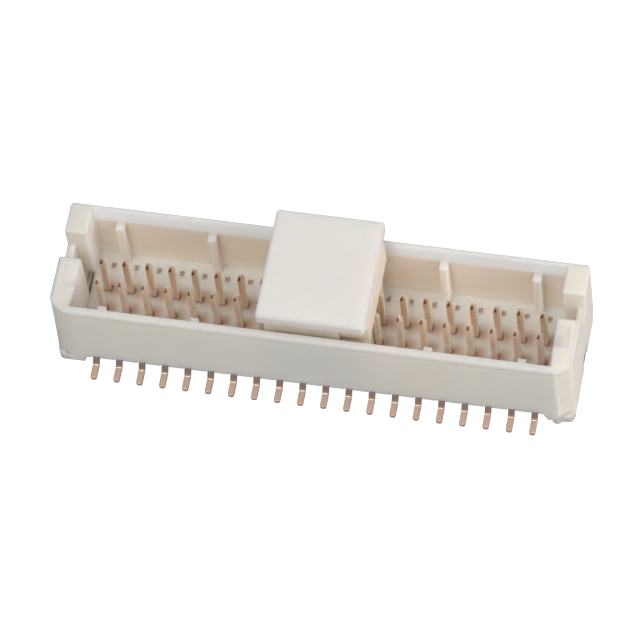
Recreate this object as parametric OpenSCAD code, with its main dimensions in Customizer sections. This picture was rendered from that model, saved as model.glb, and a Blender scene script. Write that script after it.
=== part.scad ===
// Two-row surface-mount pin header with a shrouded housing and a pick-up cap.
// Millimetres. X runs along the rows, Y across them, Z up from the board's surface.

/* [Contacts] */
// Number of contacts in one row
columns = 20; // [8:4:28]
// Length of a row from its first contact to its last
row_l = 19; // [16:0.5:28]
// Distance between the two rows
row_pitch = 1; // [0.9:0.05:1.5]
// Side of the square pin
pin_w = 0.28; // [0.2:0.01:0.4]
// Height of the pin tips above the cavity floor
pin_h = 2.65; // [1.5:0.05:3]
// Length of the tapered pin tip
tip_l = 0.26; // [0.1:0.02:0.5]
// Width of the flat at the very tip
tip_w = 0.1; // [0.04:0.02:0.18]
// Width of the solder tail
tail_w = 0.27; // [0.14:0.01:0.27]
// Thickness of the solder tail
tail_t = 0.22; // [0.12:0.01:0.26]
// Distance from the middle of the part to the ends of the tails
tail_reach = 3.45; // [3.3:0.05:5]
// Length of the flat sole of the tail
sole_l = 0.6; // [0.3:0.05:0.8]
// Inside radius of the tail's bends
bend_r = 0.06; // [0.04:0.01:0.12]
// Cut across the corners of the tail's toe
toe_cut = 0.06; // [0.02:0.01:0.08]
// Angle of the tail's sloping leg
leg_angle = 58; // [40:1:75]

/* [Housing] */
// Gap from the centre of a row to the long wall beside it
side_gap = 1.75; // [1.4:0.05:2.5]
// Thickness of the long walls
wall_t = 0.4; // [0.3:0.05:0.8]
// Gap from the centre of the last column to the end wall
end_gap = 0.73; // [0.5:0.01:1.5]
// Thickness of the end walls
end_wall_t = 0.97; // [0.9:0.01:1.6]
// Depth of the cavity
cavity_d = 3.35; // [2.8:0.05:5]
// Thickness of the floor
floor_t = 0.55; // [0.4:0.05:1]
// Height of the underside above the board
standoff = 0.5; // [0.4:0.05:0.9]
// Cut across the two front corners, measured along the front
corner_cut_x = 0.65; // [0.2:0.05:0.9]
// Cut across the two front corners, measured along the ends
corner_cut_y = 0.42; // [0.2:0.02:0.9]
// Radius of the two back corners
corner_r = 0.15; // [0.05:0.05:0.5]
// How far each long wall leans outwards from the floor to the rim
wall_draft = 0.04; // [0.01:0.01:0.1]
// Widening of the mouth by the lead-in on the back wall
lead_in = 0.18; // [0.02:0.01:0.2]
// Depth of that lead-in below the rim
lead_in_d = 0.54; // [0.2:0.02:1]
// Width of the ribs on the long walls
rib_w = 0.38; // [0.2:0.02:0.6]
// How far the ribs stand out from the wall
rib_t = 0.41; // [0.1:0.01:0.45]
// Depth of the rib tops below the rim
rib_drop = 0.54; // [0.05:0.01:1]
// Width of the pits in the floor, along the rows
pit_w = 0.19; // [0.1:0.01:0.26]
// Length of the pits, across the rows
pit_l = 0.25; // [0.1:0.01:0.3]
// Distance of the pits from their row
pit_gap = 1.13; // [0.5:0.01:1.2]
// Depth of the pits
pit_d = 0.17; // [0.1:0.01:0.36]
// Depth of the grooves under the floor that hold the tails
groove_d = 0.1; // [0.05:0.01:0.2]
// Clearance between a contact and its hole on each side
contact_clearance = 0.02; // [0.01:0.005:0.05]

/* [End walls] */
// Width of the key slot in each end wall
slot_w = 1.17; // [0.8:0.01:1.6]
// Offset of the key slot towards the back
slot_y = 0.61; // [0:0.01:0.9]
// Depth of the key slot below the rim
slot_d = 1.15; // [0.5:0.05:2]
// Thickness of the low skin left outside the slot
skin_t = 0.35; // [0.2:0.01:0.4]
// Length of the shallow step on top of each front corner block
step_l = 1; // [0.5:0.05:1.4]
// Width of that step
step_w = 0.62; // [0.3:0.02:0.8]
// Depth of that step
step_d = 0.06; // [0.03:0.01:0.3]
// Gap between the key slot and that step
step_gap = 0.36; // [0.2:0.02:0.6]
// Length of the feet under the ends, measured at the board
foot_l = 1.15; // [1:0.05:1.5]
// Slope of the feet on their inner side
foot_slope = 0.18; // [0.05:0.01:0.3]
// Bevel round the soles of the feet
foot_bevel = 0.08; // [0.04:0.02:0.2]
// Radius of the outer corners of the feet
foot_r = 0.38; // [0.1:0.02:0.44]
// Width of the notch between the feet at each end
notch_w = 0.85; // [0.5:0.05:1.1]
// Height of that notch above the board
notch_h = 0.85; // [0.5:0.05:0.95]
// Diameter of the locating pegs
peg_d = 0.45; // [0.3:0.05:0.5]
// Length of the pegs below the board's surface
peg_l = 0.55; // [0.3:0.05:1.2]
// Distance of the pegs from the end of the housing
peg_inset_x = 0.8; // [0.6:0.05:0.9]
// Distance of the pegs from the side of the housing
peg_inset_y = 0.35; // [0.35:0.05:0.9]
// Lead chamfer at the tips of the pegs
peg_chamfer = 0.1; // [0.02:0.01:0.14]

/* [Solder tabs] */
// Sheet thickness of the solder tabs
tab_t = 0.2; // [0.1:0.01:0.26]
// Open gap round the tab on its inner and back sides
tab_gap = 0.08; // [0.04:0.01:0.14]
// Plastic left between the cavity and the tab's hole
tab_land = 0.03; // [0.02:0.01:0.1]
// Distance of the tab's sole from the end face
tab_inset = 0.06; // [0.02:0.01:0.3]
// Depth of the tab's top edge below the floor
tab_sink = 0.02; // [0:0.01:0.2]

/* [Pick-up cap] */
// Number of columns that the cap covers
cap_columns = 4; // [2:2:6]
// Reach of the cap's body to the right past its skirt
body_lip = 0.38; // [0.2:0.01:0.7]
// Step from the right side of the body in to the flat top
plate_inset = 0.05; // [0.02:0.01:0.1]
// Length of the cap's flat top across the rows
plate_l = 5.22; // [4.4:0.02:6]
// Thickness of the flat top
plate_t = 0.6; // [0.4:0.05:1]
// Corner radius of the flat top
plate_r = 0.16; // [0.1:0.02:0.6]
// Gap between the flat top and the housing's rim
plate_rise = 0.85; // [0.3:0.05:1.2]
// Offset of the flat top from the cap's body towards the back
plate_y = 0.15; // [-0.2:0.01:0.3]
// Clearance between the cap's body and the long walls
body_clearance = 0.19; // [0.06:0.01:0.4]
// Clearance between the pin tips and the body above them
tip_clearance = 0.12; // [0.08:0.02:0.6]
// Thickness of the cap's legs beside the rows
leg_t = 1.18; // [0.3:0.01:1.2]
// Thickness of the skirt walls between columns
skirt_t = 0.25; // [0.15:0.01:0.3]
// Clearance between the cap and the pins that it touches first
grip_clearance = 0.06; // [0.03:0.01:0.15]
// Gap under the legs when the cap is home
seat_gap = 0.02; // [0.01:0.01:0.1]
// Depth of the step in the front of the body
front_step = 0.16; // [0.1:0.02:0.5]
// Width of that step
front_step_w = 1.3; // [0.5:0.05:2]

/* [Hidden] */
$fn = 48;
eps = 0.01;
arc_steps = 5;
wire_colour = [0.8, 0.62, 0.44];
tab_colour = [0.74, 0.7, 0.64];
ivory_colour = [0.88, 0.87, 0.83];
cap_colour = [0.89, 0.88, 0.86];

// Rows and columns
pitch = row_l / (columns - 1);
row_y = row_pitch / 2;

// Housing faces
inner_x = row_l / 2 + end_gap;
outer_x = inner_x + end_wall_t;
inner_y = row_y + side_gap;
outer_y = inner_y + wall_t;
floor_z = standoff + floor_t;
rim_z = floor_z + cavity_d;
groove_z = standoff + groove_d;
tip_z = floor_z + pin_h;
shelf_z = rim_z - slot_d;
rib_xs = [columns / 4 * pitch, (columns / 2 - 1) * pitch];

// Tail bends: r is the radius of the centre line, s runs outwards from the pin
bend_mid_r = bend_r + tail_t / 2;
run_z = groove_z - tail_t / 2;
sole_z = tail_t / 2;
tail_drop = run_z - sole_z;
arc_drop = 2 * bend_mid_r * (1 - cos(leg_angle));
leg_l = (tail_drop - arc_drop) / sin(leg_angle);
bend_span = 2 * bend_mid_r * sin(leg_angle) + leg_l * cos(leg_angle);
tail_end = tail_reach - row_y;
upper_bend = [tail_end - sole_l - bend_span, run_z - bend_mid_r];
lower_bend = [tail_end - sole_l, sole_z + bend_mid_r];

// Key slot and tab hole at the right end
slot_y0 = slot_y - slot_w / 2;
slot_y1 = slot_y + slot_w / 2;
hole_x0 = inner_x + tab_land;
tab_x0 = hole_x0 + tab_gap;
tab_x1 = tab_x0 + tab_t;
tab_y0 = slot_y0;
tab_y1 = slot_y1 - tab_gap;
tab_top = floor_z - tab_sink;
notch_y0 = slot_y0 - tab_gap;
notch_y1 = notch_y0 + notch_w;
sole_y1 = notch_y1 - tab_gap;
tab_bend_r = tab_t / 2;

// Cap
leg_y0 = row_y + pin_w / 2 + grip_clearance;
leg_y1 = leg_y0 + leg_t;
skirt_x = cap_columns / 2 * pitch;
body_x0 = -skirt_x - skirt_t / 2;
body_x1 = skirt_x + body_lip;
plate_w = 2 * (body_x1 - plate_inset);
cap_x = (pitch - pin_w - skirt_t) / 2 - grip_clearance;
body_y = inner_y - body_clearance;
body_z = tip_z + tip_clearance;
plate_z = rim_z + plate_rise;
leg_z = floor_z + seat_gap;

function two_digits(i) = str(i < 10 ? "0" : "", i);
function contact_name(row, i) = str(row, "_contact_", two_digits(i));
function column_x(i) = (i - 1) * pitch - row_l / 2;
function arc(centre, r, a0, a1) =
    [for (k = [0:arc_steps])
        let (a = a0 + (a1 - a0) * k / arc_steps)
        centre + r * [cos(a), sin(a)]];

// Extrude an outline drawn in Y and Z along X, centred
module along_x(length) {
    rotate([90, 0, 90]) linear_extrude(height = length, center = true) children();
}

// Extrude an outline drawn in X and Z along Y, centred
module along_y(length) {
    rotate([90, 0, 0]) linear_extrude(height = length, center = true) children();
}

// A box from its lowest to its highest corner
module span(low, high) {
    translate(low) cube(high - low);
}

// Repeat what is drawn for the right end at both ends
module both_ends() {
    children();
    mirror([1, 0, 0]) children();
}

// Repeat what is drawn for the back row on both sides
module both_rows() {
    children();
    mirror([0, 1, 0]) children();
}

// Side view of a contact: pin, run under the floor, sloping leg and sole
module contact_side() {
    polygon(concat(
        [
            [-pin_w / 2, groove_z - tail_t],
            [-pin_w / 2, tip_z - tip_l],
            [-tip_w / 2, tip_z],
            [tip_w / 2, tip_z],
            [pin_w / 2, tip_z - tip_l],
            [pin_w / 2, groove_z]
        ],
        arc(upper_bend, bend_mid_r + tail_t / 2, 90, 90 - leg_angle),
        arc(lower_bend, bend_mid_r - tail_t / 2, 270 - leg_angle, 270),
        [[tail_end, tail_t], [tail_end, 0]],
        arc(lower_bend, bend_mid_r + tail_t / 2, 270, 270 - leg_angle),
        arc(upper_bend, bend_mid_r - tail_t / 2, 90 - leg_angle, 90)
    ));
}

// Front view of a contact: a narrow tail, a shoulder and a pointed pin
module contact_front() {
    polygon([
        [-tail_w / 2, 0],
        [tail_w / 2, 0],
        [tail_w / 2, groove_z],
        [pin_w / 2, groove_z],
        [pin_w / 2, tip_z - tip_l],
        [tip_w / 2, tip_z],
        [-tip_w / 2, tip_z],
        [-pin_w / 2, tip_z - tip_l],
        [-pin_w / 2, groove_z],
        [-tail_w / 2, groove_z]
    ]);
}

// Plan of a contact: a tail with cut corners at its toe
module contact_plan() {
    polygon([
        [-pin_w / 2, -pin_w / 2],
        [pin_w / 2, -pin_w / 2],
        [pin_w / 2, pin_w / 2],
        [tail_w / 2, pin_w / 2],
        [tail_w / 2, tail_end - toe_cut],
        [tail_w / 2 - toe_cut, tail_end],
        [toe_cut - tail_w / 2, tail_end],
        [-tail_w / 2, tail_end - toe_cut],
        [-tail_w / 2, pin_w / 2],
        [-pin_w / 2, pin_w / 2]
    ]);
}

// One stamped contact of the back row, at column i
module contact(i) {
    color(wire_colour)
    translate([column_x(i), row_y, 0])
    intersection() {
        along_x(pin_w) contact_side();
        along_y(4 * tail_reach) contact_front();
        linear_extrude(height = tip_z) contact_plan();
    }
}

// Plan of the housing: cut corners in front, small round corners behind
module housing_plan() {
    polygon(concat(
        [
            [-outer_x, corner_cut_y - outer_y],
            [corner_cut_x - outer_x, -outer_y],
            [outer_x - corner_cut_x, -outer_y],
            [outer_x, corner_cut_y - outer_y]
        ],
        arc([outer_x - corner_r, outer_y - corner_r], corner_r, 0, 90),
        arc([corner_r - outer_x, outer_y - corner_r], corner_r, 90, 180)
    ));
}

// Plan of the feet: round corners all round
module feet_plan() {
    x = outer_x - foot_r;
    y = outer_y - foot_r;
    polygon(concat(
        arc([x, y], foot_r, 0, 90),
        arc([-x, y], foot_r, 90, 180),
        arc([-x, -y], foot_r, 180, 270),
        arc([x, -y], foot_r, 270, 360)
    ));
}

// Feet under both ends, bevelled round their soles
module end_feet() {
    foot_x = outer_x - foot_l;
    intersection() {
        linear_extrude(height = standoff + eps) feet_plan();
        both_ends() along_y(2 * outer_y) polygon([
            [foot_x, 0],
            [outer_x - foot_bevel, 0],
            [outer_x, foot_bevel],
            [outer_x, standoff + eps],
            [foot_x - foot_slope, standoff + eps]
        ]);
        along_x(2 * outer_x) polygon([
            [foot_bevel - outer_y, 0],
            [outer_y - foot_bevel, 0],
            [outer_y, foot_bevel],
            [outer_y, standoff + eps],
            [-outer_y, standoff + eps],
            [-outer_y, foot_bevel]
        ]);
    }
}

// One locating peg that goes into a hole in the board
module peg() {
    translate([0, 0, -peg_l]) {
        cylinder(h = peg_chamfer, r1 = peg_d / 2 - peg_chamfer, r2 = peg_d / 2);
        translate([0, 0, peg_chamfer])
            cylinder(h = peg_l - peg_chamfer + eps, d = peg_d);
    }
}

// Ribs inside the long walls, which guide the mating half
module wall_ribs() {
    for (x = rib_xs)
        both_ends() both_rows()
            span(
                [x - rib_w / 2, inner_y - rib_t, floor_z - eps],
                [x + rib_w / 2, inner_y + wall_t / 2, rim_z - rib_drop]
            );
}

// Open cavity between walls that lean outwards, with a lead-in at the back
module cavity() {
    front_y = inner_y + wall_draft;
    throat_y = inner_y + wall_draft * (1 - lead_in_d / cavity_d);
    mouth_y = front_y + lead_in;
    along_x(2 * inner_x) polygon([
        [-inner_y, floor_z],
        [inner_y, floor_z],
        [throat_y, rim_z - lead_in_d],
        [mouth_y, rim_z],
        [mouth_y, rim_z + eps],
        [-front_y, rim_z + eps],
        [-front_y, rim_z]
    ]);
}

// Key slot, inner pocket, tab hole, foot notch and top step at the right end
module end_cuts() {
    step_y1 = slot_y0 - step_gap;
    span([inner_x - eps, slot_y0, shelf_z], [outer_x + eps, slot_y1, rim_z + eps]);
    span([inner_x - eps, slot_y0, floor_z], [outer_x - skin_t, slot_y1, rim_z + eps]);
    span([hole_x0, slot_y0, -eps], [tab_x1, slot_y1, floor_z + eps]);
    span([hole_x0, notch_y0, -eps], [outer_x + eps, notch_y1, notch_h]);
    span(
        [inner_x - eps, step_y1 - step_l, rim_z - step_d],
        [inner_x + step_w, step_y1, rim_z + eps]
    );
}

// Hole, floor pit and tail groove for one contact of the back row
module contact_cuts(x) {
    half_hole = pin_w / 2 + contact_clearance;
    half_groove = tail_w / 2 + contact_clearance;
    pit_y = row_y + pit_gap;
    span(
        [x - half_hole, row_y - half_hole, groove_z - eps],
        [x + half_hole, row_y + half_hole, floor_z + eps]
    );
    span(
        [x - half_groove, row_y - half_hole, standoff - eps],
        [x + half_groove, outer_y + eps, groove_z]
    );
    span(
        [x - pit_w / 2, pit_y - pit_l / 2, floor_z - pit_d],
        [x + pit_w / 2, pit_y + pit_l / 2, floor_z + eps]
    );
}

module housing() {
    peg_x = outer_x - peg_inset_x;
    peg_y = outer_y - peg_inset_y;
    color(ivory_colour) {
        difference() {
            union() {
                difference() {
                    translate([0, 0, standoff])
                        linear_extrude(height = rim_z - standoff) housing_plan();
                    cavity();
                }
                wall_ribs();
                end_feet();
            }
            both_ends() end_cuts();
            for (i = [1:columns]) both_rows() contact_cuts(column_x(i));
        }
        translate([peg_x, -peg_y, 0]) peg();
        translate([-peg_x, peg_y, 0]) peg();
    }
}

// Folded hold-down tab in the right end wall: a post in its hole and a sole on the board
module solder_tab() {
    color(tab_colour) {
        translate([0, (tab_y0 + sole_y1) / 2, 0])
            along_y(sole_y1 - tab_y0) polygon(concat(
                [[tab_x0, tab_top]],
                arc([tab_x1 + tab_bend_r, tab_t + tab_bend_r], tab_bend_r + tab_t, 180, 270),
                [[outer_x - tab_inset, 0], [outer_x - tab_inset, tab_t]],
                arc([tab_x1 + tab_bend_r, tab_t + tab_bend_r], tab_bend_r, 270, 180),
                [[tab_x1, tab_top]]
            ));
        span([tab_x0, tab_y0, (notch_h + standoff) / 2], [tab_x1, tab_y1, tab_top]);
    }
}

// Plan of the cap's flat top
module plate_plan() {
    x = plate_w / 2 - plate_r;
    y = plate_l / 2 - plate_r;
    polygon(concat(
        arc([x, y], plate_r, 0, 90),
        arc([-x, y], plate_r, 90, 180),
        arc([-x, -y], plate_r, 180, 270),
        arc([x, -y], plate_r, 270, 360)
    ));
}

// Pick-up cap: flat top, body between the walls, and a skirt round the middle pins
module pickup_cap() {
    skirt_x0 = skirt_x - skirt_t / 2;
    skirt_x1 = skirt_x + skirt_t / 2;
    color(cap_colour)
    translate([cap_x, 0, 0]) {
        translate([0, plate_y, plate_z])
            linear_extrude(height = plate_t) plate_plan();
        difference() {
            span([body_x0, -body_y, body_z], [body_x1, body_y, plate_z + eps]);
            span(
                [body_x1 - front_step_w, -body_y - eps, body_z - eps],
                [body_x1 + eps, front_step - body_y, plate_z - plate_t / 2]
            );
        }
        both_rows() span([body_x0, leg_y0, leg_z], [skirt_x1, leg_y1, body_z + eps]);
        both_ends() span([skirt_x0, -leg_y0 - eps, leg_z], [skirt_x1, leg_y0 + eps, body_z + eps]);
    }
}

housing();
solder_tab();  // right_solder_tab
mirror([1, 0, 0]) solder_tab();  // left_solder_tab
pickup_cap();
for (i = [1:columns]) {
    mirror([0, 1, 0]) contact(i);
    contact(i);
}
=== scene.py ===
import math

import bmesh
import bpy
from mathutils import Matrix, Vector


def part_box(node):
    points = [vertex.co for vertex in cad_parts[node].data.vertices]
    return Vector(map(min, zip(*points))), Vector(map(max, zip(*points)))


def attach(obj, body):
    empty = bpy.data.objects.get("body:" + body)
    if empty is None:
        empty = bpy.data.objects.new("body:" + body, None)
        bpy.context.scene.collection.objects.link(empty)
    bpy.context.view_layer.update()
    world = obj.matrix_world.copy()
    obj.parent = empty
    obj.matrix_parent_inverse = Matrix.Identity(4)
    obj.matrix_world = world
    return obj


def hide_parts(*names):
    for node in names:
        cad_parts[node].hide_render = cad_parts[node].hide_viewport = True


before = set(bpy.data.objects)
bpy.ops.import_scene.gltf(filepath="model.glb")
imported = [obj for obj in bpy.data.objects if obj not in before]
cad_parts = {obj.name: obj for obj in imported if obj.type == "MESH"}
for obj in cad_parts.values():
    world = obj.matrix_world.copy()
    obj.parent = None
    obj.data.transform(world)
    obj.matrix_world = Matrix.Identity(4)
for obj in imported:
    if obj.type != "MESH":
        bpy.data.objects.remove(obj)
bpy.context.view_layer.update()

# Sizes of the header in metres, the outer ones read from its solids
MM = 0.001
HOUSING_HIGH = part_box("housing")[1]
CAP_LOW, CAP_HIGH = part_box("pickup_cap")
OUTER_X = HOUSING_HIGH.x
OUTER_Y = HOUSING_HIGH.y
RIM_Z = HOUSING_HIGH.z
CAP_TOP_Z = CAP_HIGH.z
CAP_PLATE_Z = CAP_TOP_Z - 0.6 * MM
FLOOR_Z = 1.05 * MM
STANDOFF = 0.5 * MM
INNER_X = 10.23 * MM
INNER_Y = 2.25 * MM
CORNER_CUT_X = 0.65 * MM
CORNER_CUT_Y = 0.42 * MM
MOUTH_D = 0.54 * MM

# Places of the contacts, read from the first and the last of the back row
COLUMNS = sum(name.startswith("back_contact_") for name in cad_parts)
FIRST_LOW, FIRST_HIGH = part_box("back_contact_01")
LAST_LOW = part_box("back_contact_%02d" % COLUMNS)[0]
PITCH = (LAST_LOW.x - FIRST_LOW.x) / (COLUMNS - 1)
PIN_W = FIRST_HIGH.x - FIRST_LOW.x
ROW_SPACING = 2 * FIRST_LOW.y + PIN_W
TIP_Z = FIRST_HIGH.z
TIP_L = 0.26 * MM
FIRST_PIN_X = FIRST_LOW.x + PIN_W / 2
TAIL_T = 0.22 * MM

# Rounding of the mouldings and of the stamped metal
CORNER_ROUND = 0.36 * MM
RIGHT_CORNER_ROUND = 0.13 * MM
RIM_ROUND = 0.14 * MM
BLOCK_ROUND = 0.13 * MM
EDGE_ROUND = 0.055 * MM
STEP_ROUND = 0.045 * MM
PLATE_ROUND = 0.145 * MM
PLATE_UNDER_ROUND = 0.06 * MM
WIRE_ROUND = 0.045 * MM
TAIL_ROUND = 0.025 * MM
TIP_ROUND = 0.015 * MM
TAB_ROUND = 0.02 * MM

# An edge sharper than the first angle gets rounded, and faces within the second are joined
ROUND_ABOVE = math.radians(25)
FLAT_WITHIN = math.radians(0.5)
SAME_POINT = 0.0005 * MM
CLOSE = 0.004 * MM

# Shares above which a point lies on a cut corner, and an edge or a face stands upright
ON_CUT = 0.98
UPRIGHT_EDGE = 0.99
UPRIGHT_FACE = 0.5

# Bodies that the pieces ride on
HEADER = "header"
CAP = "cap"

# Painted warm shadow and reflection of the pins on the floor, beside each pin, where it mirrors
# their plating
PIN_SHADE_SHIFT = 0.3 * MM
PIN_SHADE_W = 0.5 * MM
PIN_SHADE_L = 0.62 * MM
PIN_SHADE_DEPTH = 0.95

# Painted warm shade inside the tray, for its shade and warm interreflection: its share on the
# floor and the ribs, and its start on the end walls
FLOOR_SHADE_SHARE = 0.18
RIB_SHADE_SHARE = 0.5
END_SHADE_DROP = 2.4 * MM

# Depth of the painted light and painted shade by place, and the width over which each fades
SKIN = 0.1 * MM
END_WALL_LIGHT = 0.8
RIM_SHADE = 0.25
EDGE_SHADE = 0.34
BLOCK_SHADE = 0.15
PIT_SHADE = 0.5
FOOT_GREY_SHADE = 0.38
FOOT_WARM_SHADE = 0.2
PLATE_EDGE_SHADE = 0.9
CAP_EDGE_SHADE = 0.29
SHADE_GREY = (0.42, 0.43, 0.47, 1.0)

# Plating of the contacts: metallic share of the front row, lowered so that row shows lighter as
# painted light, and colours by place that paint a highlight, shade and reflections on the pins and
# tails
FRONT_SHINE = 0.62
TAIL_DIM_REFLECTION = 0.85
LIT_SIDE = (1.0, 0.94, 0.83, 1.0)
SHADED_ROOT = (0.86, 0.61, 0.47, 1.0)
BROWN_TAIL = (0.65, 0.48, 0.39, 1.0)
SHADED_LEG = (0.42, 0.31, 0.27, 1.0)
DARK_TIP = (0.3, 0.22, 0.19, 1.0)
DARK_TIP_W = 0.03 * MM

# A tip facet gets the painted dark reflection if it faces across the rows within this angle
DARK_REFLECTION_WITHIN = math.radians(40)

# Range of the noise that is used, and the finish of the surfaces over it
NOISE_LOW = 0.3
NOISE_HIGH = 0.7
MOULDED_ROUGH = (0.6, 0.74)
MOULDED_BUMP = 0.35
MOULDED_SHEEN = 0.3
GLOW_BY_COLOUR = (1.0, 0.8, 0.6)
PLATED_ROUGH = (0.26, 0.42)
PLATED_BUMP = 0.15
PLATED_GRAIN = 0.01 * MM

# Face attribute that marks the tip facets painted with a dark reflection
DARK_REFLECTION = "dark_reflection"
# Point attribute with the distance along the row from the middle of a pin
PIN_ACROSS = "pin_across"


# Small helpers for node trees

def add_node(tree, kind, **settings):
    node = tree.nodes.new(kind)
    for key, value in settings.items():
        setattr(node, key, value)
    return node


def set_inputs(node, **values):
    for key, value in values.items():
        node.inputs[key.replace("_", " ")].default_value = value
    return node


def link(tree, source, target):
    tree.links.new(source, target)


def new_group(name, kind, inputs, outputs):
    tree = bpy.data.node_groups.new(name, kind)
    for label, socket in inputs:
        tree.interface.new_socket(label, in_out="INPUT", socket_type=socket)
    for label, socket in outputs:
        tree.interface.new_socket(label, in_out="OUTPUT", socket_type=socket)
    group_in = tree.nodes.new("NodeGroupInput")
    group_out = tree.nodes.new("NodeGroupOutput")
    return tree, group_in, group_out


def remap(tree, source, low, high, to_low, to_high, blend="LINEAR"):
    node = add_node(tree, "ShaderNodeMapRange", interpolation_type=blend)
    set_inputs(node, From_Min=low, From_Max=high, To_Min=to_low, To_Max=to_high)
    link(tree, source, node.inputs["Value"])
    return node.outputs["Result"]


def math_node(tree, operation, first, second):
    node = add_node(tree, "ShaderNodeMath", operation=operation)
    for source, target in ((first, node.inputs[0]), (second, node.inputs[1])):
        if isinstance(source, float):
            target.default_value = source
        else:
            link(tree, source, target)
    return node.outputs["Value"]


def blend_colour(tree, factor, first, second):
    node = add_node(tree, "ShaderNodeMix", data_type="RGBA")
    link(tree, factor, node.inputs["Factor"])
    colour_a = [s for s in node.inputs if s.name == "A" and s.type == "RGBA"][0]
    colour_b = [s for s in node.inputs if s.name == "B" and s.type == "RGBA"][0]
    for source, target in ((first, colour_a), (second, colour_b)):
        if isinstance(source, tuple):
            target.default_value = source
        else:
            link(tree, source, target)
    return [s for s in node.outputs if s.type == "RGBA"][0]


def product(tree, factors):
    result = factors[0]
    for factor in factors[1:]:
        result = math_node(tree, "MULTIPLY", result, factor)
    return result


def split_axes(tree):
    place = add_node(tree, "ShaderNodeTexCoord")
    split = add_node(tree, "ShaderNodeSeparateXYZ")
    link(tree, place.outputs["Object"], split.inputs["Vector"])
    return split


def part_axes(tree):
    # Distances from the middle along and across the rows, and the height
    split = split_axes(tree)
    along = math_node(tree, "ABSOLUTE", split.outputs["X"], 0.0)
    across = math_node(tree, "ABSOLUTE", split.outputs["Y"], 0.0)
    return along, across, split.outputs["Z"]


# Shader groups shared by the materials

def moulded_skin_group():
    tree, group_in, group_out = new_group(
        "moulded_skin",
        "ShaderNodeTree",
        [
            ("Base", "NodeSocketColor"),
            ("Flow", "NodeSocketColor"),
            ("Deep", "NodeSocketColor"),
            ("Depth", "NodeSocketFloat"),
            ("Pale", "NodeSocketColor"),
            ("Paleness", "NodeSocketFloat"),
            ("Stain", "NodeSocketColor"),
            ("Staining", "NodeSocketFloat"),
            ("Cool", "NodeSocketColor"),
            ("Coolness", "NodeSocketFloat"),
            ("Cloud Scale", "NodeSocketFloat"),
            ("Grain Scale", "NodeSocketFloat"),
        ],
        [
            ("Color", "NodeSocketColor"),
            ("Roughness", "NodeSocketFloat"),
            ("Height", "NodeSocketFloat"),
        ],
    )
    place = add_node(tree, "ShaderNodeTexCoord")
    cloud = set_inputs(add_node(tree, "ShaderNodeTexNoise"), Detail=3.0, Roughness=0.55)
    grain = set_inputs(add_node(tree, "ShaderNodeTexNoise"), Detail=2.0, Roughness=0.6)
    for noise, label in ((cloud, "Cloud Scale"), (grain, "Grain Scale")):
        link(tree, place.outputs["Object"], noise.inputs["Vector"])
        link(tree, group_in.outputs[label], noise.inputs["Scale"])
    mask = remap(tree, cloud.outputs["Fac"], NOISE_LOW, NOISE_HIGH, 0.0, 1.0)
    skin = blend_colour(tree, mask, group_in.outputs["Base"], group_in.outputs["Flow"])
    # Painted shade, painted light, painted warm shade and painted grey shade, each laid over the
    # moulded colour by its mask
    skin = blend_colour(tree, group_in.outputs["Depth"], skin, group_in.outputs["Deep"])
    skin = blend_colour(tree, group_in.outputs["Paleness"], skin, group_in.outputs["Pale"])
    skin = blend_colour(tree, group_in.outputs["Staining"], skin, group_in.outputs["Stain"])
    colour = blend_colour(tree, group_in.outputs["Coolness"], skin, group_in.outputs["Cool"])
    rough = remap(tree, grain.outputs["Fac"], NOISE_LOW, NOISE_HIGH, *MOULDED_ROUGH)
    link(tree, colour, group_out.inputs["Color"])
    link(tree, rough, group_out.inputs["Roughness"])
    link(tree, grain.outputs["Fac"], group_out.inputs["Height"])
    return tree


def plated_skin_group():
    tree, group_in, group_out = new_group(
        "plated_skin",
        "ShaderNodeTree",
        [
            ("Bright", "NodeSocketColor"),
            ("Dull", "NodeSocketColor"),
            ("Streak Scale", "NodeSocketFloat"),
        ],
        [
            ("Color", "NodeSocketColor"),
            ("Roughness", "NodeSocketFloat"),
            ("Height", "NodeSocketFloat"),
        ],
    )
    place = add_node(tree, "ShaderNodeTexCoord")
    stretch = add_node(tree, "ShaderNodeMapping")
    stretch.inputs["Scale"].default_value = (1.0, 0.6, 0.35)
    noise = set_inputs(add_node(tree, "ShaderNodeTexNoise"), Detail=3.0, Roughness=0.6)
    link(tree, place.outputs["Object"], stretch.inputs["Vector"])
    link(tree, stretch.outputs["Vector"], noise.inputs["Vector"])
    link(tree, group_in.outputs["Streak Scale"], noise.inputs["Scale"])
    mask = remap(tree, noise.outputs["Fac"], 0.35, 0.65, 0.0, 1.0)
    colour = blend_colour(tree, mask, group_in.outputs["Bright"], group_in.outputs["Dull"])
    rough = remap(tree, noise.outputs["Fac"], NOISE_LOW, NOISE_HIGH, *PLATED_ROUGH)
    link(tree, colour, group_out.inputs["Color"])
    link(tree, rough, group_out.inputs["Roughness"])
    link(tree, noise.outputs["Fac"], group_out.inputs["Height"])
    return tree


moulded_skin = moulded_skin_group()
plated_skin = plated_skin_group()


# Materials

def start_material(name, group):
    material = bpy.data.materials.new(name)
    material.use_nodes = True
    tree = material.node_tree
    shader = tree.nodes["Principled BSDF"]
    skin = add_node(tree, "ShaderNodeGroup", node_tree=group)
    bump = add_node(tree, "ShaderNodeBump")
    link(tree, skin.outputs["Roughness"], shader.inputs["Roughness"])
    link(tree, skin.outputs["Height"], bump.inputs["Height"])
    link(tree, bump.outputs["Normal"], shader.inputs["Normal"])
    return material, tree, shader, skin, bump


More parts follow.
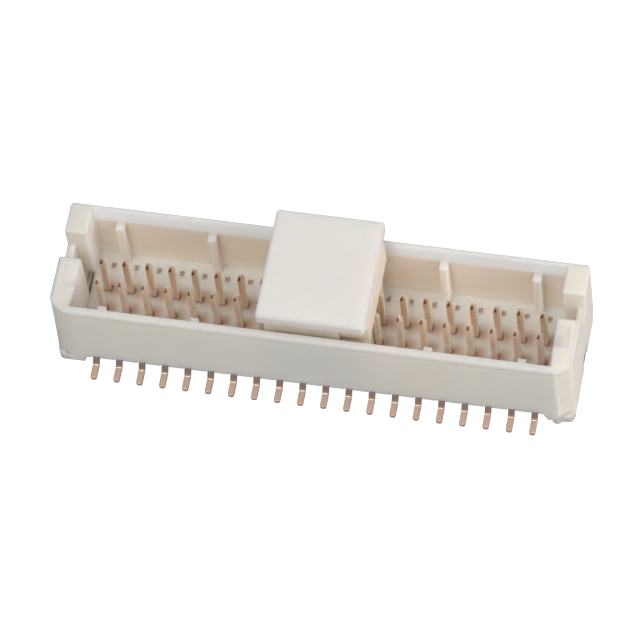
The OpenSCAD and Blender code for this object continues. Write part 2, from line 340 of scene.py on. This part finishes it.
def cavity_painted_shade(tree):
    # Painted warm shade: rises to 1 on the inner walls below the lead-in, and less on the ribs and
    # the floor
    x, y, z = part_axes(tree)
    raised = remap(tree, x, INNER_X - SKIN, INNER_X - 0.2 * SKIN, 0.0, END_SHADE_DROP)
    level = math_node(tree, "ADD", z, raised)
    factors = [
        remap(tree, x, OUTER_X - 2.5 * SKIN, OUTER_X - 3.5 * SKIN, 0.0, 1.0),
        remap(tree, y, OUTER_Y - 2.4 * SKIN, OUTER_Y - 3 * SKIN, 0.0, 1.0),
        remap(tree, level, RIM_Z - 0.5 * MOUTH_D, RIM_Z - 1.4 * MOUTH_D, 0.0, 1.0),
        remap(tree, z, FLOOR_Z + 0.2 * SKIN, FLOOR_Z + 8 * SKIN, FLOOR_SHADE_SHARE, 1.0),
        remap(tree, y, INNER_Y - 2 * SKIN, INNER_Y - 0.5 * SKIN, RIB_SHADE_SHARE, 1.0),
    ]
    return product(tree, factors)


def mouth_painted_light(tree):
    # Painted light: rises to 1 on the inner faces beside the lead-in, and less on the end walls
    x, y, z = part_axes(tree)
    end = product(tree, [
        remap(tree, x, INNER_X - 0.6 * SKIN, INNER_X - 0.2 * SKIN, 0.0, END_WALL_LIGHT),
        remap(tree, x, INNER_X + 2 * SKIN, INNER_X + SKIN, 0.0, 1.0),
        remap(tree, y, INNER_Y + SKIN, INNER_Y, 0.0, 1.0),
        remap(tree, z, FLOOR_Z + SKIN, FLOOR_Z + 4 * SKIN, 0.0, 1.0),
        remap(tree, z, RIM_Z - SKIN, RIM_Z - 3 * SKIN, 0.0, 1.0),
    ])
    factors = [
        remap(tree, y, OUTER_Y - SKIN, OUTER_Y - 2 * SKIN, 0.0, 1.0),
        remap(tree, y, INNER_Y - 0.6 * SKIN, INNER_Y, 0.0, 1.0),
        remap(tree, x, INNER_X + SKIN, INNER_X, 0.0, 1.0),
        remap(tree, z, RIM_Z - 1.3 * MOUTH_D, RIM_Z - 0.8 * MOUTH_D, 0.0, 1.0),
        remap(tree, z, RIM_Z - 0.2 * SKIN, RIM_Z - SKIN, 0.0, 1.0),
    ]
    return math_node(tree, "MAXIMUM", product(tree, factors), end)


def under_plate_painted_shade(tree):
    # Painted shade: rises to 1 on the cap's body and legs, and down the front edge of its plate
    split = split_axes(tree)
    height = split.outputs["Z"]
    body = remap(tree, height, CAP_PLATE_Z + SKIN, CAP_PLATE_Z - SKIN, 0.0, 1.0)
    edge = product(tree, [
        remap(tree, height, CAP_TOP_Z - SKIN, CAP_PLATE_Z, 0.0, PLATE_EDGE_SHADE),
        remap(tree, split.outputs["Y"], CAP_LOW.y + 3 * SKIN, CAP_LOW.y + SKIN, 0.0, 1.0),
    ])
    return math_node(tree, "MAXIMUM", body, edge)


def pin_shadow_and_reflection(tree):
    # Painted shadow and reflection: rises on the floor just right of each pin, where the warm
    # plating is mirrored
    split = split_axes(tree)
    far_y = part_axes(tree)[1]
    along = math_node(tree, "SUBTRACT", split.outputs["X"], FIRST_PIN_X + PIN_SHADE_SHIFT)
    count = math_node(tree, "DIVIDE", along, PITCH)
    nearest = math_node(tree, "ROUND", count, 0.0)
    aside = math_node(tree, "SUBTRACT", count, nearest)
    aside = math_node(tree, "ABSOLUTE", aside, 0.0)
    across = math_node(tree, "SUBTRACT", far_y, ROW_SPACING / 2)
    across = math_node(tree, "ABSOLUTE", across, 0.0)
    factors = [
        remap(tree, aside, 0.0, PIN_SHADE_W / PITCH, PIN_SHADE_DEPTH, 0.0, "SMOOTHSTEP"),
        remap(tree, across, 0.0, PIN_SHADE_L, 1.0, 0.0, "SMOOTHSTEP"),
        remap(tree, split.outputs["X"], FIRST_PIN_X - PIN_W, FIRST_PIN_X, 0.0, 1.0),
        remap(tree, split.outputs["Z"], FLOOR_Z + SKIN, FLOOR_Z, 0.0, 1.0),
    ]
    return product(tree, factors)


def pit_painted_shade(tree):
    # Painted shade: rises to 1 in the small pits of the floor
    x, y, z = part_axes(tree)
    factors = [
        remap(tree, x, INNER_X, INNER_X - SKIN, 0.0, 1.0),
        remap(tree, y, INNER_Y, INNER_Y - SKIN, 0.0, 1.0),
        remap(tree, z, FLOOR_Z, FLOOR_Z - 0.2 * SKIN, 0.0, PIT_SHADE),
        remap(tree, z, FLOOR_Z - 4 * SKIN, FLOOR_Z - 3 * SKIN, 0.0, 1.0),
    ]
    return product(tree, factors)


def foot_painted_shade(tree, depth):
    # Painted shade: rises on the foot where it shows below a cut corner
    x, y, z = part_axes(tree)
    factors = [
        remap(tree, x, OUTER_X - CORNER_CUT_X, OUTER_X - 0.7 * CORNER_CUT_X, 0.0, depth),
        remap(tree, y, OUTER_Y - CORNER_CUT_Y, OUTER_Y - 0.7 * CORNER_CUT_Y, 0.0, 1.0),
        remap(tree, z, STANDOFF + 1.5 * SKIN, STANDOFF + 0.2 * SKIN, 0.0, 1.0),
    ]
    return product(tree, factors)


def rim_painted_shade(tree):
    # Painted grey shade: rises on the front rim, along its outer edge where it dulls the
    # highlight, and less on the left blocks
    split = split_axes(tree)
    x, y, z = part_axes(tree)
    past_x = remap(tree, x, OUTER_X - CORNER_CUT_X, OUTER_X, 0.0, 1.0)
    past_y = remap(tree, y, OUTER_Y - CORNER_CUT_Y, OUTER_Y, 0.0, 1.0)
    outline = math_node(tree, "ADD", past_x, past_y)
    edge = product(tree, [
        remap(tree, outline, 0.6, 0.85, 0.0, EDGE_SHADE),
        remap(tree, split.outputs["Y"], SKIN, -SKIN, 0.0, 1.0),
    ])
    front = product(tree, [
        remap(tree, split.outputs["Y"], -INNER_Y + SKIN, -INNER_Y, 0.0, RIM_SHADE),
        remap(tree, split.outputs["X"], INNER_X + 2 * SKIN, INNER_X - 2 * SKIN, 0.0, 1.0),
    ])
    left = remap(tree, split.outputs["X"], -INNER_X + SKIN, -INNER_X, 0.0, BLOCK_SHADE)
    top = remap(tree, z, RIM_Z - 4 * SKIN, RIM_Z - SKIN, 0.0, 1.0)
    painted_grey_shade = math_node(tree, "MAXIMUM", front, left)
    painted_grey_shade = math_node(tree, "MAXIMUM", painted_grey_shade, edge)
    return product(tree, [painted_grey_shade, top])


def housing_painted_warm_shade(tree):
    # Painted warm shade: patches on the floor beside the pins, in its pits and on the feet
    result = math_node(tree, "MAXIMUM", pin_shadow_and_reflection(tree), pit_painted_shade(tree))
    return math_node(tree, "MAXIMUM", result, foot_painted_shade(tree, FOOT_WARM_SHADE))


def housing_painted_grey_shade(tree):
    # Painted grey shade on the rims and feet
    return math_node(tree, "MAXIMUM", rim_painted_shade(tree), foot_painted_shade(tree, FOOT_GREY_SHADE))


def cap_edge_painted_shade(tree):
    # Painted grey shade: rises on the right and front edges of the cap's flat top, dulling their
    # highlight
    split = split_axes(tree)
    right = remap(tree, split.outputs["X"], CAP_HIGH.x - 2.5 * SKIN, CAP_HIGH.x - SKIN, 0.0, 1.0)
    front = remap(tree, split.outputs["Y"], CAP_LOW.y + 2 * SKIN, CAP_LOW.y + 0.5 * SKIN, 0.0, 1.0)
    high = remap(
        tree, split.outputs["Z"], CAP_TOP_Z - 4 * SKIN, CAP_TOP_Z - SKIN, 0.0, CAP_EDGE_SHADE
    )
    return product(tree, [math_node(tree, "MAXIMUM", right, front), high])


def plastic(
    name, base, flow, painted_shade, painted_shade_mask, cloud_scale, grain_scale, grain_depth, glow_depth,
    painted_light=None, painted_light_mask=None, painted_warm_shade=None, painted_warm_shade_mask=None, painted_grey_shade=None, painted_grey_shade_mask=None,
):
    material, tree, shader, skin, bump = start_material(name, moulded_skin)
    skin.inputs["Base"].default_value = base
    skin.inputs["Flow"].default_value = flow
    skin.inputs["Deep"].default_value = painted_shade
    link(tree, painted_shade_mask(tree), skin.inputs["Depth"])
    if painted_light_mask:
        skin.inputs["Pale"].default_value = painted_light
        link(tree, painted_light_mask(tree), skin.inputs["Paleness"])
    if painted_warm_shade_mask:
        skin.inputs["Stain"].default_value = painted_warm_shade
        link(tree, painted_warm_shade_mask(tree), skin.inputs["Staining"])
    if painted_grey_shade_mask:
        skin.inputs["Cool"].default_value = painted_grey_shade
        link(tree, painted_grey_shade_mask(tree), skin.inputs["Coolness"])
    skin.inputs["Cloud Scale"].default_value = cloud_scale
    skin.inputs["Grain Scale"].default_value = grain_scale
    bump.inputs["Strength"].default_value = MOULDED_BUMP
    bump.inputs["Distance"].default_value = grain_depth
    link(tree, skin.outputs["Color"], shader.inputs["Base Color"])
    shader.inputs["Subsurface Weight"].default_value = 1.0
    shader.inputs["Subsurface Radius"].default_value = GLOW_BY_COLOUR
    shader.inputs["Subsurface Scale"].default_value = glow_depth
    shader.inputs["Specular IOR Level"].default_value = MOULDED_SHEEN
    return material


def plating(name, bright, dull, streak_scale):
    material, tree, shader, skin, bump = start_material(name, plated_skin)
    skin.inputs["Bright"].default_value = bright
    skin.inputs["Dull"].default_value = dull
    skin.inputs["Streak Scale"].default_value = streak_scale
    bump.inputs["Strength"].default_value = PLATED_BUMP
    bump.inputs["Distance"].default_value = PLATED_GRAIN
    return material, tree, shader, skin


def gold_plating():
    material, tree, shader, skin = plating(
        "gold_plating",
        bright=(1.0, 0.88, 0.75, 1.0),
        dull=(0.94, 0.7, 0.55, 1.0),
        streak_scale=2200.0,
    )
    y, z = part_axes(tree)[1:]
    row_side = split_axes(tree).outputs["Y"]
    # Painted light: the front row is made less metallic so it shows lighter
    shine = remap(tree, row_side, -SKIN, SKIN, FRONT_SHINE, 1.0)
    link(tree, shine, shader.inputs["Metallic"])
    across = add_node(tree, "ShaderNodeAttribute", attribute_name=PIN_ACROSS)
    # Painted highlight: lighter on the right side of each pin
    lit_side = remap(tree, across.outputs["Fac"], 0.1 * PIN_W, 0.35 * PIN_W, 0.0, 1.0)
    colour = blend_colour(tree, lit_side, skin.outputs["Color"], LIT_SIDE)
    # Painted shade: warmer and darker at the roots of the pins, by the floor
    root = remap(tree, z, FLOOR_Z + 3 * PIN_W, FLOOR_Z + 0.5 * PIN_W, 0.0, 1.0)
    colour = blend_colour(tree, root, colour, SHADED_ROOT)
    # Painted dim reflection: browner on the tails outside the housing
    tail = remap(tree, y, OUTER_Y, OUTER_Y + PIN_W, 0.0, TAIL_DIM_REFLECTION)
    colour = blend_colour(tree, tail, colour, BROWN_TAIL)
    leg = product(tree, [
        remap(tree, z, TAIL_T + 0.3 * SKIN, TAIL_T + SKIN, 0.0, 1.0),
        remap(tree, z, FLOOR_Z, FLOOR_Z - SKIN, 0.0, 1.0),
    ])
    colour = blend_colour(tree, leg, colour, SHADED_LEG)
    # Painted dark reflection on the left half of the tip facets that face across the rows
    dark_reflection = add_node(tree, "ShaderNodeAttribute", attribute_name=DARK_REFLECTION)
    narrow = remap(tree, across.outputs["Fac"], 0.0, DARK_TIP_W, 1.0, 0.0)
    dark = product(tree, [dark_reflection.outputs["Fac"], narrow])
    colour = blend_colour(tree, dark, colour, DARK_TIP)
    link(tree, colour, shader.inputs["Base Color"])
    return material


def tin_plating():
    material, tree, shader, skin = plating(
        "tin_plating",
        bright=(0.62, 0.58, 0.52, 1.0),
        dull=(0.46, 0.42, 0.37, 1.0),
        streak_scale=1500.0,
    )
    shader.inputs["Metallic"].default_value = 1.0
    link(tree, skin.outputs["Color"], shader.inputs["Base Color"])
    return material


# Ivory with painted shade in the tray, painted light at the mouth, painted warm shade by the pins,
# in the pits and on the feet, and painted grey shade on the rims
ivory = plastic(
    "ivory_moulding",
    base=(0.88, 0.845, 0.775, 1.0),
    flow=(0.865, 0.825, 0.75, 1.0),
    painted_shade=(0.83, 0.735, 0.645, 1.0),
    painted_shade_mask=cavity_painted_shade,
    painted_light=(0.94, 0.93, 0.905, 1.0),
    painted_light_mask=mouth_painted_light,
    painted_warm_shade=(0.66, 0.45, 0.33, 1.0),
    painted_warm_shade_mask=housing_painted_warm_shade,
    painted_grey_shade=SHADE_GREY,
    painted_grey_shade_mask=housing_painted_grey_shade,
    cloud_scale=320.0,
    grain_scale=14000.0,
    grain_depth=0.012 * MM,
    glow_depth=0.8 * MM,
)
# Cap with painted shade under its plate and down the plate's front edge, and painted grey shade on
# the edges of its top
cap_white = plastic(
    "cap_moulding",
    base=(0.875, 0.85, 0.81, 1.0),
    flow=(0.855, 0.825, 0.78, 1.0),
    painted_shade=(0.88, 0.77, 0.64, 1.0),
    painted_shade_mask=under_plate_painted_shade,
    painted_grey_shade=SHADE_GREY,
    painted_grey_shade_mask=cap_edge_painted_shade,
    cloud_scale=420.0,
    grain_scale=11000.0,
    grain_depth=0.012 * MM,
    glow_depth=0.8 * MM,
)
gold = gold_plating()
tin = tin_plating()


# Softened copies of the solids

def clean_copy(node):
    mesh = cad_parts[node].data.copy()
    work = bmesh.new()
    work.from_mesh(mesh)
    bmesh.ops.remove_doubles(work, verts=work.verts, dist=SAME_POINT)
    bmesh.ops.dissolve_limit(
        work, angle_limit=FLAT_WITHIN, verts=work.verts, edges=work.edges
    )
    return mesh, work


def soften(name, mesh, work, weigh, width, segments):
    layer = work.edges.layers.float.new("bevel_weight_edge")
    for edge in work.edges:
        edge[layer] = 0.0
        if len(edge.link_faces) == 2 and edge.calc_face_angle(0.0) > ROUND_ABOVE:
            edge[layer] = weigh(edge)
            edge.smooth = edge[layer] > 0.0
    work.to_mesh(mesh)
    work.free()
    mesh.materials.clear()
    for face in mesh.polygons:
        face.use_smooth = True
    piece = bpy.data.objects.new(name, mesh)
    bpy.context.scene.collection.objects.link(piece)
    bevel = piece.modifiers.new("rounded_edges", "BEVEL")
    bevel.limit_method = "WEIGHT"
    bevel.width = width
    bevel.segments = segments
    bevel.use_clamp_overlap = False
    bevel.miter_outer = "MITER_ARC"
    normals = piece.modifiers.new("flat_faces", "WEIGHTED_NORMAL")
    normals.weight = 100
    normals.keep_sharp = True
    return piece


def flatten_modifiers(piece):
    graph = bpy.context.evaluated_depsgraph_get()
    done = bpy.data.meshes.new_from_object(piece.evaluated_get(graph))
    done.name = piece.name
    piece.modifiers.clear()
    piece.data = done
    return piece


def middle(edge):
    return (edge.verts[0].co + edge.verts[1].co) / 2


def on_outline(spot):
    # True on the outer faces, the cut front corners and the round back corners
    if abs(spot.x) > OUTER_X - CLOSE or abs(spot.y) > OUTER_Y - CLOSE:
        return True
    past_x = (abs(spot.x) - OUTER_X + CORNER_CUT_X) / CORNER_CUT_X
    past_y = (abs(spot.y) - OUTER_Y + CORNER_CUT_Y) / CORNER_CUT_Y
    return min(past_x, past_y) > 0.0 and past_x + past_y > ON_CUT


def beside_low_face(edge):
    heights = []
    for face in edge.link_faces:
        if abs(face.normal.z) < UPRIGHT_FACE:
            levels = [v.co.z for v in face.verts]
            heights.append(max(levels) - min(levels))
    return bool(heights) and min(heights) < 2 * EDGE_ROUND


def housing_round(edge):
    spot = middle(edge)
    outside = on_outline(spot)
    length = edge.calc_length()
    upright = abs(edge.verts[0].co.z - edge.verts[1].co.z) > length * UPRIGHT_EDGE
    if beside_low_face(edge):
        return STEP_ROUND
    if all(v.co.z > RIM_Z - CLOSE for v in edge.verts):
        if outside:
            return EDGE_ROUND if spot.y > 0.0 else RIM_ROUND
        return EDGE_ROUND if abs(spot.x) < INNER_X - CLOSE else BLOCK_ROUND
    if spot.z < FLOOR_Z + CLOSE and not outside:
        return 0.0
    if length < EDGE_ROUND * 2.4:
        return 0.0
    at_corner = abs(spot.y) > OUTER_Y - 1.2 * CORNER_CUT_Y
    if outside and upright and at_corner and spot.z > FLOOR_Z:
        return CORNER_ROUND if spot.x < 0.0 else RIGHT_CORNER_ROUND
    return EDGE_ROUND


def housing_weight(edge):
    return housing_round(edge) / CORNER_ROUND if edge.is_convex else 0.0


def cap_weight(edge):
    if not edge.is_convex:
        return 0.0
    if all(v.co.z > CAP_TOP_Z - CLOSE for v in edge.verts):
        return 1.0
    if all(abs(v.co.z - CAP_PLATE_Z) < CLOSE for v in edge.verts):
        return PLATE_UNDER_ROUND / PLATE_ROUND
    return EDGE_ROUND / PLATE_ROUND


def even_weight(edge):
    return 1.0 if edge.is_convex else 0.0


def contact_weight(edge):
    if not edge.is_convex:
        return 0.0
    if any(v.co.z > TIP_Z - CLOSE for v in edge.verts):
        return TIP_ROUND / WIRE_ROUND
    if middle(edge).z < FLOOR_Z - CLOSE:
        return TAIL_ROUND / WIRE_ROUND
    return 1.0


def finished(piece, material, body, nodes):
    flatten_modifiers(piece)
    if not piece.data.materials:
        piece.data.materials.append(material)
    piece.data.materials[0] = material
    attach(piece, body)
    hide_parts(*nodes)
    return piece


housing = soften("housing_moulding", *clean_copy("housing"), housing_weight, CORNER_ROUND, 4)
finished(housing, ivory, HEADER, ["housing"])

cap = soften("pickup_cap_moulding", *clean_copy("pickup_cap"), cap_weight, PLATE_ROUND, 4)
finished(cap, cap_white, CAP, ["pickup_cap"])

for side in ("left", "right"):
    node = side + "_solder_tab"
    tab = soften(node + "_sheet", *clean_copy(node), even_weight, TAB_ROUND, 2)
    finished(tab, tin, HEADER, [node])


# The two rows of contacts: one stamped contact set out along both rows

def contact_rows_tree():
    tree, group_in, group_out = new_group(
        "contact_rows",
        "GeometryNodeTree",
        [
            ("Contact", "NodeSocketObject"),
            ("Columns", "NodeSocketInt"),
            ("Pitch", "NodeSocketFloat"),
            ("Row Spacing", "NodeSocketFloat"),
            ("Tip Start", "NodeSocketFloat"),
            ("Plating", "NodeSocketMaterial"),
        ],
        [("Geometry", "NodeSocketGeometry")],
    )
    source = add_node(tree, "GeometryNodeObjectInfo")
    link(tree, group_in.outputs["Contact"], source.inputs["Object"])
    gaps = math_node(tree, "SUBTRACT", group_in.outputs["Columns"], 1.0)
    length = math_node(tree, "MULTIPLY", gaps, group_in.outputs["Pitch"])
    start = math_node(tree, "MULTIPLY", length, -0.5)
    step = add_node(tree, "ShaderNodeCombineXYZ")
    link(tree, group_in.outputs["Pitch"], step.inputs["X"])
    join = add_node(tree, "GeometryNodeJoinGeometry")
    for side, turn in ((0.5, 0.0), (-0.5, math.pi)):
        across = math_node(tree, "MULTIPLY", group_in.outputs["Row Spacing"], side)
        first = add_node(tree, "ShaderNodeCombineXYZ")
        link(tree, start, first.inputs["X"])
        link(tree, across, first.inputs["Y"])
        row = add_node(tree, "GeometryNodeMeshLine", mode="OFFSET")
        link(tree, group_in.outputs["Columns"], row.inputs["Count"])
        link(tree, first.outputs["Vector"], row.inputs["Start Location"])
        link(tree, step.outputs["Vector"], row.inputs["Offset"])
        place = add_node(tree, "GeometryNodeInstanceOnPoints")
        place.inputs["Rotation"].default_value = (0.0, 0.0, turn)
        link(tree, row.outputs["Mesh"], place.inputs["Points"])
        link(tree, source.outputs["Geometry"], place.inputs["Instance"])
        link(tree, place.outputs["Instances"], join.inputs["Geometry"])
    real = add_node(tree, "GeometryNodeRealizeInstances")
    # Marks the tip facets that get the painted dark reflection
    mark = add_node(tree, "GeometryNodeStoreNamedAttribute", domain="FACE", data_type="FLOAT")
    mark.inputs["Name"].default_value = DARK_REFLECTION
    coat = add_node(tree, "GeometryNodeSetMaterial")
    link(tree, join.outputs["Geometry"], real.inputs["Geometry"])
    link(tree, real.outputs["Geometry"], mark.inputs["Geometry"])
    link(tree, dark_reflection_facets(tree, group_in.outputs["Tip Start"]), mark.inputs["Value"])
    side = add_node(tree, "GeometryNodeStoreNamedAttribute", domain="POINT", data_type="FLOAT")
    side.inputs["Name"].default_value = PIN_ACROSS
    link(tree, mark.outputs["Geometry"], side.inputs["Geometry"])
    offset = pin_across(tree, start, group_in.outputs["Pitch"])
    link(tree, offset, side.inputs["Value"])
    link(tree, side.outputs["Geometry"], coat.inputs["Geometry"])
    link(tree, group_in.outputs["Plating"], coat.inputs["Material"])
    link(tree, coat.outputs["Geometry"], group_out.inputs["Geometry"])
    return tree


def pin_across(tree, first, pitch):
    # Signed distance along the row from the middle of the nearest pin
    place = add_node(tree, "ShaderNodeSeparateXYZ")
    link(tree, add_node(tree, "GeometryNodeInputPosition").outputs[0], place.inputs["Vector"])
    along = math_node(tree, "SUBTRACT", place.outputs["X"], first)
    count = math_node(tree, "DIVIDE", along, pitch)
    nearest = math_node(tree, "ROUND", count, 0.0)
    middle_x = math_node(tree, "MULTIPLY", nearest, pitch)
    return math_node(tree, "SUBTRACT", along, middle_x)


def dark_reflection_facets(tree, tip_start):
    # True on the sloping tip facets that face across the rows, which get a painted dark reflection
    place = add_node(tree, "ShaderNodeSeparateXYZ")
    facing = add_node(tree, "ShaderNodeSeparateXYZ")
    link(tree, add_node(tree, "GeometryNodeInputPosition").outputs[0], place.inputs["Vector"])
    link(tree, add_node(tree, "GeometryNodeInputNormal").outputs[0], facing.inputs["Vector"])
    high = math_node(tree, "GREATER_THAN", place.outputs["Z"], tip_start)
    across = math_node(tree, "ABSOLUTE", facing.outputs["Y"], 0.0)
    steep = math_node(tree, "GREATER_THAN", across, math.cos(DARK_REFLECTION_WITHIN))
    return product(tree, [high, steep])


def set_modifier(modifier, values):
    for item in modifier.node_group.interface.items_tree:
        if item.item_type == "SOCKET" and item.in_out == "INPUT":
            modifier[item.identifier] = values[item.name]


def contact_comb():
    pattern = "back_contact_%02d" % (COLUMNS // 2)
    mesh, work = clean_copy(pattern)
    column_x = (COLUMNS // 2 - (COLUMNS + 1) / 2) * PITCH
    shift = Vector((-column_x, -ROW_SPACING / 2, 0.0))
    bmesh.ops.translate(work, verts=work.verts, vec=shift)
    stamped = soften("stamped_contact", mesh, work, contact_weight, WIRE_ROUND, 3)
    flatten_modifiers(stamped)
    comb = bpy.data.objects.new("contact_rows", bpy.data.meshes.new("contact_rows"))
    bpy.context.scene.collection.objects.link(comb)
    modifier = comb.modifiers.new("rows", "NODES")
    modifier.node_group = contact_rows_tree()
    set_modifier(modifier, {
        "Contact": stamped,
        "Columns": COLUMNS,
        "Pitch": PITCH,
        "Row Spacing": ROW_SPACING,
        "Tip Start": TIP_Z - TIP_L,
        "Plating": gold,
    })
    flatten_modifiers(comb)
    bpy.data.objects.remove(stamped)
    return comb


contact_nodes = [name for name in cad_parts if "_contact_" in name]
comb = contact_comb()
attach(comb, HEADER)
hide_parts(*contact_nodes)


# Stage: floor, light and camera

FLOOR_DROP = -0.56 * MM
FLOOR_HALF = 150 * MM
FLOOR_GREY = 0.3
FLOOR_GLOW = 0.06
FLOOR_SHOWN = 1.0

# Soft boxes: name, direction from the part, distance, side, power and tint
WORLD_STRENGTH = 0.24
LIGHTS = (
    ("camera_side", (-0.15, -0.45, 0.88), 0.3, 0.2, 0.47, (0.97, 0.975, 0.98)),
    ("right_low", (0.95, -0.2, 0.2), 0.15, 0.12, 0.115, (1.0, 0.93, 0.88)),
    ("right_high", (0.75, -0.1, 0.65), 0.2, 0.14, 0.09, (0.95, 0.9, 0.95)),
    ("behind", (-0.15, 0.98, 0.08), 0.15, 0.12, 0.075, (1.0, 0.98, 0.96)),
)


def pale_floor():
    mesh = bpy.data.meshes.new("pale_floor")
    corners = [(-1, -1), (1, -1), (1, 1), (-1, 1)]
    points = [(x * FLOOR_HALF, y * FLOOR_HALF, FLOOR_DROP) for x, y in corners]
    mesh.from_pydata(points, [], [(0, 1, 2, 3)])
    material = bpy.data.materials.new("pale_floor")
    material.use_nodes = True
    tree = material.node_tree
    shader = tree.nodes["Principled BSDF"]
    shader.inputs["Base Color"].default_value = (FLOOR_GREY, FLOOR_GREY, FLOOR_GREY, 1.0)
    shader.inputs["Roughness"].default_value = 0.9
    shader.inputs["Specular IOR Level"].default_value = 0.0
    shader.inputs["Emission Color"].default_value = (1.0, 1.0, 1.0, 1.0)
    path = add_node(tree, "ShaderNodeLightPath")
    glow = remap(tree, path.outputs["Is Camera Ray"], 0.0, 1.0, FLOOR_GLOW, FLOOR_SHOWN)
    link(tree, glow, shader.inputs["Emission Strength"])
    mesh.materials.append(material)
    floor = bpy.data.objects.new("pale_floor", mesh)
    bpy.context.scene.collection.objects.link(floor)


def soft_light(name, direction, distance, size, power, tint):
    data = bpy.data.lights.new(name, "AREA")
    data.shape = "SQUARE"
    data.size = size
    data.energy = power
    data.color = tint
    lamp = bpy.data.objects.new(name, data)
    bpy.context.scene.collection.objects.link(lamp)
    towards = Vector(direction).normalized()
    lamp.location = towards * distance
    lamp.rotation_euler = towards.to_track_quat("Z", "Y").to_euler()


def studio_world(strength):
    world = bpy.data.worlds.new("studio")
    world.use_nodes = True
    backdrop = world.node_tree.nodes["Background"]
    backdrop.inputs["Color"].default_value = (1.0, 1.0, 1.0, 1.0)
    backdrop.inputs["Strength"].default_value = strength
    bpy.context.scene.world = world


def photo_camera():
    azimuth = math.radians(18.694)
    elevation = math.radians(61.436)
    roll = math.radians(-9.444)
    distance = 240.213 * MM
    slide_right = -0.172 * MM
    slide_up = 0.22 * MM
    back = Vector((
        math.cos(elevation) * math.sin(azimuth),
        -math.cos(elevation) * math.cos(azimuth),
        math.sin(elevation),
    ))
    level = Vector((math.cos(azimuth), math.sin(azimuth), 0.0))
    upright = Vector((
        -math.sin(elevation) * math.sin(azimuth),
        math.sin(elevation) * math.cos(azimuth),
        math.cos(elevation),
    ))
    right = math.cos(roll) * level + math.sin(roll) * upright
    up = -math.sin(roll) * level + math.cos(roll) * upright
    eye = back * distance + right * slide_right + up * slide_up + Vector((0, 0, FLOOR_Z))
    data = bpy.data.cameras.new("photo_camera")
    data.sensor_fit = "HORIZONTAL"
    data.sensor_width = 36.0
    data.lens = 317.16
    data.clip_start = 0.005
    data.clip_end = 5.0
    camera = bpy.data.objects.new("photo_camera", data)
    bpy.context.scene.collection.objects.link(camera)
    turn = Matrix((right, up, back)).transposed().to_4x4()
    camera.matrix_world = Matrix.Translation(eye) @ turn
    bpy.context.scene.camera = camera


pale_floor()
studio_world(WORLD_STRENGTH)
for light in LIGHTS:
    soft_light(*light)
photo_camera()
bpy.context.scene.view_settings.view_transform = "Standard"
